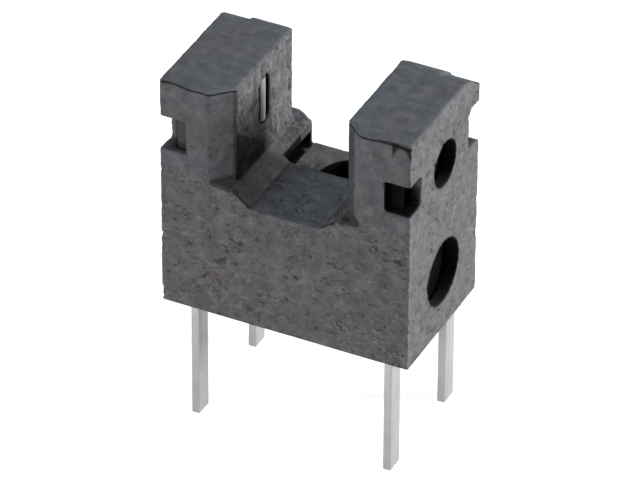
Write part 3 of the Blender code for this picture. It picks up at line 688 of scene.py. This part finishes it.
def makeHousing():
    values = housing
    guide = linked("housingGuide", mergedCopy("housing"))
    remesh = guide.modifiers.new("remesh", "REMESH")
    remesh.mode = "VOXEL"
    remesh.voxel_size = values["voxel"]
    remesh.adaptivity = 0.0
    smooth = guide.modifiers.new("smooth", "SMOOTH")
    smooth.factor = values["smoothFactor"]
    smooth.iterations = values["smoothSteps"]
    mesh = bakedMesh(guide, "housingForm")
    points = np.empty(len(mesh.vertices) * 3)
    mesh.vertices.foreach_get("co", points)
    mesh.vertices.foreach_set("co", roundedCrests(points.reshape(-1, 3)).ravel())
    zoneMasks(mesh)
    guide = linked("housingSkinGuide", mesh)
    skin = guide.modifiers.new("mouldedSkin", "NODES")
    inputs = {
        "Swell Depth": values["swellDepth"], "Swell Size": values["swellSize"],
        "Dent Depth": values["dentDepth"], "Dent Size": values["dentSize"],
        "Pit Depth": values["pitDepth"], "Pit Spacing": values["pitSpacing"],
        "Pit Share": values["pitShare"],
        "Cobble Depth": values["cobbleDepth"], "Cobble Size": values["cobbleSize"],
        "Flattening": values["flattening"], "Streaking": values["streaking"], "Seed": values["seed"],
    }
    skin.node_group = mouldedSkinTree(inputs)
    giveInputs(skin, {**inputs, "Finish": mouldedPlastic()})
    slim = guide.modifiers.new("fewerTriangles", "DECIMATE")
    slim.ratio = values["keptShare"]
    mesh = bakedMesh(guide, "housingShell")
    points = np.empty(len(mesh.vertices) * 3)
    mesh.vertices.foreach_get("co", points)
    kept = np.clip(points.reshape(-1, 3), cadBox[0], cadBox[1])
    mesh.vertices.foreach_set("co", kept.ravel())
    piece = linked("housingShell", mesh)
    piece.data.shade_smooth()
    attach(piece, "root")
    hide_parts("housing")
    print("housing:", sum(len(face.vertices) - 2 for face in piece.data.polygons), "triangles")


makeHousing()


epoxy = {
    "clear": "#2e3033",          # clear, so its depths show the dark pocket round it
    "crownHighlight": "#98999c",        # painted highlight on the crown of the bar that stands in the slit
    "dark": "#0a0a0b",
    "barStart": 1.94,            # millimetres from the middle of the slot
    "barMiddle": 0.03,
    "barSide": 0.17,             # from its middle; its flanks stay dark
    "barBlur": 0.04,
    "hazeSize": 0.4,
    "clearRoughness": 0.35,
    "clearSpecular": 0.3,
    "darkRoughness": 0.5,
    "darkSpecular": 0.02,
}


def epoxyMaterial(name, colour, roughness, specular, crownHighlight=None):
    # Transfer-moulded epoxy: even, glossy, with a slight haze from the tool
    material, tree, shader = newMaterial(name)
    place = addNode(tree, "ShaderNodeTexCoord")
    spot = addNode(
        tree, "ShaderNodeMapping", {"Scale": (1 / mm, 1 / mm, 1 / mm)}, {"Vector": place.outputs["Object"]})
    haze = addNode(
        tree, "ShaderNodeTexNoise", {"Scale": 1 / epoxy["hazeSize"], "Detail": 2.0},
        {"Vector": spot.outputs[0]})
    shade = addNode(
        tree, "ShaderNodeMapRange", {"From Min": 0.3, "From Max": 0.7, "To Min": 0.8, "To Max": 1.0},
        {"Value": haze.outputs[0]})
    source = addNode(tree, "ShaderNodeRGB")
    source.outputs[0].default_value = linear(colour)
    source = source.outputs[0]
    # Painted highlight: the crown of the bar in the slit is drawn pale
    if crownHighlight:
        axes = addNode(tree, "ShaderNodeSeparateXYZ", {}, {0: spot.outputs[0]})
        away = addNode(tree, "ShaderNodeMath", {"operation": "ABSOLUTE"}, {0: axes.outputs[0]})
        bar = addNode(
            tree, "ShaderNodeMapRange",
            {"From Min": epoxy["barStart"], "From Max": epoxy["barStart"] - epoxy["barBlur"]},
            {"Value": away.outputs[0]})
        middle = addNode(
            tree, "ShaderNodeMath", {"operation": "SUBTRACT", 1: epoxy["barMiddle"]}, {0: axes.outputs[1]})
        aside = addNode(tree, "ShaderNodeMath", {"operation": "ABSOLUTE"}, {0: middle.outputs[0]})
        crown = addNode(
            tree, "ShaderNodeMapRange",
            {"From Min": epoxy["barSide"] + epoxy["barBlur"], "From Max": epoxy["barSide"]},
            {"Value": aside.outputs[0]})
        matt = addNode(
            tree, "ShaderNodeMath", {"operation": "MULTIPLY"}, {0: bar.outputs[0], 1: crown.outputs[0]})
        source = addNode(
            tree, "ShaderNodeMix", {"data_type": "RGBA", 7: linear(crownHighlight)},
            {0: matt.outputs[0], 6: source}).outputs[2]
    tinted = addNode(
        tree, "ShaderNodeMix", {"data_type": "RGBA", "blend_type": "MULTIPLY", 0: 1.0},
        {6: source, 7: shade.outputs[0]})
    tree.links.new(tinted.outputs[2], shader.inputs["Base Color"])
    sheen = addNode(
        tree, "ShaderNodeMapRange",
        {"From Min": 0.3, "From Max": 0.7, "To Min": roughness * 0.7, "To Max": roughness * 1.3},
        {"Value": haze.outputs[0]})
    tree.links.new(sheen.outputs[0], shader.inputs["Roughness"])
    shader.inputs["IOR"].default_value = 1.54
    shader.inputs["Specular IOR Level"].default_value = specular
    return material


def shadedByAngle(mesh, degrees):
    # Smooth curves, crisp corners
    form = bmesh.new()
    form.from_mesh(mesh)
    limit = math.radians(degrees)
    for face in form.faces:
        face.smooth = True
    for edge in form.edges:
        edge.smooth = edge.is_manifold and edge.calc_face_angle(math.pi) < limit
    form.to_mesh(mesh)
    form.free()


def softenedCopy(nodeName, radius, segments):
    # The CAD node's own form with its flat faces joined and its corners broken
    mesh = mergedCopy(nodeName)
    form = bmesh.new()
    form.from_mesh(mesh)
    bmesh.ops.dissolve_limit(form, angle_limit=math.radians(1), verts=form.verts, edges=form.edges)
    form.to_mesh(mesh)
    form.free()
    guide = linked(nodeName + "Guide", mesh)
    bevel = guide.modifiers.new("corners", "BEVEL")
    bevel.width = radius
    bevel.segments = segments
    bevel.limit_method = "ANGLE"
    bevel.angle_limit = math.radians(40)
    bevel.use_clamp_overlap = True
    return bakedMesh(guide, nodeName + "Form")


def keepPiece(name, mesh, material, nodeName):
    mesh.materials.clear()
    mesh.materials.append(material)
    piece = linked(name, mesh)
    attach(piece, "root")
    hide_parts(nodeName)
    return piece


clearEpoxy = epoxyMaterial(
    "mouldedClearInfraredEpoxy", epoxy["clear"], epoxy["clearRoughness"], epoxy["clearSpecular"],
    epoxy["crownHighlight"])
darkEpoxy = epoxyMaterial(
    "mouldedDaylightBlockingEpoxy", epoxy["dark"], epoxy["darkRoughness"], epoxy["darkSpecular"])
for end, finish, slotName in (
        ("emitter", clearEpoxy, "clear_epoxy"), ("detector", darkEpoxy, "dark_epoxy")):
    mesh = mergedCopy(end + "_body")
    shadedByAngle(mesh, 30)
    keepPiece(end + "Package", mesh, finish, end + "_body")
print("packages done")


# The leads are steel strip, stamped, with a matt tin plate
leads = {
    "plate": "#adabad",
    "shade": "#a4a2a4",
    "smoothest": 0.38,
    "roughest": 0.54,
    "metallic": 0.62,            # the rest scatters, as matt tin does
    "lineSpacing": 0.111 * mm,   # of the drawing lines
    "lineLength": 2.86 * mm,
    "cloudSize": 0.714,          # millimetres
    "cornerRadius": 0.022 * mm,
    "segments": 2,
}


def tinPlate():
    # Electroplated matt tin: pale grey, soft reflections, faint drawing lines along the strip
    material, tree, shader = newMaterial("mattTinPlatedSteel")
    place = addNode(tree, "ShaderNodeTexCoord")
    closeness = (1 / leads["lineSpacing"], 1 / leads["lineSpacing"], 1 / leads["lineLength"])
    along = addNode(
        tree, "ShaderNodeMapping", {"Scale": closeness}, {"Vector": place.outputs["Object"]})
    lines = addNode(
        tree, "ShaderNodeTexNoise", {"Scale": 1.0, "Detail": 2.0}, {"Vector": along.outputs[0]})
    spot = addNode(
        tree, "ShaderNodeMapping", {"Scale": (1 / mm, 1 / mm, 1 / mm)}, {"Vector": place.outputs["Object"]})
    cloud = addNode(
        tree, "ShaderNodeTexNoise", {"Scale": 1 / leads["cloudSize"], "Detail": 3.0},
        {"Vector": spot.outputs[0]})
    both = addNode(
        tree, "ShaderNodeMath", {"operation": "MULTIPLY_ADD", 1: 0.5},
        {0: lines.outputs[0], 2: cloud.outputs[0]})
    amount = addNode(
        tree, "ShaderNodeMapRange", {"From Min": 0.6, "From Max": 0.9}, {"Value": both.outputs[0]})
    colour = addNode(
        tree, "ShaderNodeMix",
        {"data_type": "RGBA", 6: linear(leads["plate"]), 7: linear(leads["shade"])},
        {0: amount.outputs[0]})
    tree.links.new(colour.outputs[2], shader.inputs["Base Color"])
    shader.inputs["Metallic"].default_value = leads["metallic"]
    dull = addNode(
        tree, "ShaderNodeMapRange",
        {"To Min": leads["smoothest"], "To Max": leads["roughest"]}, {"Value": lines.outputs[0]})
    tree.links.new(dull.outputs[0], shader.inputs["Roughness"])
    bump = addNode(
        tree, "ShaderNodeBump", {"Strength": 0.25, "Distance": 0.004 * mm}, {"Height": lines.outputs[0]})
    tree.links.new(bump.outputs[0], shader.inputs["Normal"])
    return material


tin = tinPlate()
for nodeName in ("emitter_chip_lead", "emitter_bond_lead", "detector_chip_lead", "detector_bond_lead"):
    mesh = softenedCopy(nodeName, leads["cornerRadius"], leads["segments"])
    shadedByAngle(mesh, 50)
    end, job, _ = nodeName.split("_")
    keepPiece(end + job.title() + "Lead", mesh, tin, nodeName)
print("leads done")


# Chips and bond wires are sealed inside the epoxy
inside = {
    "arsenide": "#4a4448",
    "silicon": "#3a4152",
    "gold": "#e2b35c",
    "arsenideRoughness": 0.2,
    "siliconRoughness": 0.15,
    "goldRoughness": 0.22,
    "sawSpacing": 0.025 * mm,
    "sawLength": 0.5 * mm,
}


def streaked(name, colour, metallic, roughness):
    # Sawn and polished wafer, or drawn wire: glossy, with faint lines all one way
    material, tree, shader = newMaterial(name)
    place = addNode(tree, "ShaderNodeTexCoord")
    closeness = (1 / inside["sawSpacing"], 1 / inside["sawLength"], 1 / inside["sawLength"])
    saw = addNode(
        tree, "ShaderNodeMapping", {"Scale": closeness}, {"Vector": place.outputs["Object"]})
    lines = addNode(
        tree, "ShaderNodeTexNoise", {"Scale": 1.0, "Detail": 1.0}, {"Vector": saw.outputs[0]})
    shade = addNode(
        tree, "ShaderNodeMapRange", {"To Min": 0.8, "To Max": 1.1}, {"Value": lines.outputs[0]})
    tinted = addNode(
        tree, "ShaderNodeMix", {"data_type": "RGBA", "blend_type": "MULTIPLY", 0: 1.0, 6: linear(colour)},
        {7: shade.outputs[0]})
    tree.links.new(tinted.outputs[2], shader.inputs["Base Color"])
    shader.inputs["Metallic"].default_value = metallic
    shader.inputs["Roughness"].default_value = roughness
    return material


arsenide = streaked("polishedGalliumArsenide", inside["arsenide"], 0.0, inside["arsenideRoughness"])
silicon = streaked("polishedSilicon", inside["silicon"], 0.0, inside["siliconRoughness"])
gold = streaked("drawnGoldWire", inside["gold"], 1.0, inside["goldRoughness"])
for nodeName, finish, slotName in (
        ("emitter_chip", arsenide, "emitter_crystal"), ("detector_chip", silicon, "detector_crystal"),
        ("emitter_bond_wire", gold, "bond_wire"), ("detector_bond_wire", gold, "bond_wire")):
    mesh = mergedCopy(nodeName)
    shadedByAngle(mesh, 50)
    words = nodeName.split("_")
    keepPiece(words[0] + "".join(w.title() for w in words[1:]), mesh, finish, nodeName)
print("chips and wires done")


# Two soft lamps stand at the right, one at the front left, a weaker one at the rear left and a faint
# one above
studio = {
    "floorSize": 0.6,
    "floorColour": "#a4a4a4",
    "floorGlow": 0.85,           # so that the camera sees it nearly white
    "ambient": 0.04,
    "aim": (0, 0, 4 * mm),       # the middle of the housing
    "lamps": (
        # name, direction to the lamp, distance, width, height, strength as a white card would show it
        ("rightLamp", (0.88, 0.41, 0.24), 0.20, 0.035, 0.035, 1.10),
        ("highRightLamp", (0.81, 0.38, 0.45), 0.20, 0.05, 0.05, 0.47),
        ("frontLeftLamp", (-0.38, -0.90, 0.22), 0.20, 0.08, 0.06, 0.76),
        ("rearLeftLamp", (-0.81, 0.57, 0.14), 0.20, 0.08, 0.08, 0.40),
        ("topLamp", (0.0, 0.0, 1.0), 0.20, 0.10, 0.10, 0.19),
    ),
}
# Fitted to the body's corners in the photograph
camera = {
    "eye": (0.064298, -0.132141, 0.105378),
    "back": (0.35773, -0.7355, 0.57538),    # from the object to the camera
    "roll": 0.353,               # degrees
    "lens": 334.2,
}


def makeFloor(lowest):
    form = bmesh.new()
    bmesh.ops.create_grid(form, x_segments=1, y_segments=1, size=studio["floorSize"] / 2)
    bmesh.ops.translate(form, vec=(0, 0, lowest), verts=form.verts)
    mesh = bpy.data.meshes.new("floor")
    form.to_mesh(mesh)
    form.free()
    material, tree, shader = newMaterial("paleStudioBoard")
    shader.inputs["Base Color"].default_value = linear(studio["floorColour"])
    shader.inputs["Roughness"].default_value = 0.9
    shader.inputs["Specular IOR Level"].default_value = 0.1
    path = addNode(tree, "ShaderNodeLightPath")
    seen = addNode(
        tree, "ShaderNodeMath", {"operation": "MAXIMUM"},
        {0: path.outputs["Is Camera Ray"], 1: path.outputs["Is Glossy Ray"]})
    strength = addNode(
        tree, "ShaderNodeMath", {"operation": "MULTIPLY", 1: studio["floorGlow"]}, {0: seen.outputs[0]})
    glow = addNode(
        tree, "ShaderNodeEmission", {"Color": (1, 1, 1, 1)}, {"Strength": strength.outputs[0]})
    both = addNode(tree, "ShaderNodeAddShader", {}, {0: shader.outputs[0], 1: glow.outputs[0]})
    tree.links.new(both.outputs[0], tree.nodes["Material Output"].inputs["Surface"])
    mesh.materials.append(material)
    floor = linked("studioFloor", mesh)


def makeWorld():
    world = bpy.data.worlds.new("studioWorld")
    bpy.context.scene.world = world
    world.use_nodes = True
    tree = world.node_tree
    back = tree.nodes["Background"]
    back.inputs["Color"].default_value = (1, 1, 1, 1)
    path = addNode(tree, "ShaderNodeLightPath")
    seen = addNode(
        tree, "ShaderNodeMath", {"operation": "MAXIMUM"},
        {0: path.outputs["Is Camera Ray"], 1: path.outputs["Is Glossy Ray"]})
    through = addNode(
        tree, "ShaderNodeMath", {"operation": "MAXIMUM"},
        {0: seen.outputs[0], 1: path.outputs["Is Transmission Ray"]})
    strength = addNode(
        tree, "ShaderNodeMapRange", {"To Min": studio["ambient"], "To Max": 1.0},
        {"Value": through.outputs[0]})
    tree.links.new(strength.outputs[0], back.inputs["Strength"])


def makeLamps(middle):
    for name, direction, distance, width, height, level in studio["lamps"]:
        towards = Vector(direction).normalized()
        data = bpy.data.lights.new(name, "AREA")
        data.shape = "RECTANGLE"
        data.size = width
        data.size_y = height
        data.energy = level * math.pi ** 2 * distance ** 2
        lamp = linked(name, data)
        turned = towards.to_track_quat("Z", "Y").to_matrix().to_4x4()
        lamp.matrix_world = Matrix.Translation(middle + towards * distance) @ turned


def makeCamera():
    back = Vector(camera["back"]).normalized()
    right = Vector((0, 0, 1)).cross(back).normalized()
    up = back.cross(right)
    turn = math.radians(camera["roll"])
    right, up = right * math.cos(turn) + up * math.sin(turn), up * math.cos(turn) - right * math.sin(turn)
    data = bpy.data.cameras.new("photoCamera")
    data.lens = camera["lens"]
    data.sensor_width = 36.0
    data.clip_start = 0.01
    data.clip_end = 10.0
    eye = linked("photoCamera", data)
    eye.matrix_world = Matrix.Translation(camera["eye"]) @ Matrix((right, up, back)).transposed().to_4x4()
    bpy.context.scene.camera = eye


makeFloor(cadBox[0][2])
makeWorld()
makeLamps(Vector(studio["aim"]))
makeCamera()
bpy.context.scene.view_settings.view_transform = "Standard"
print("studio done")
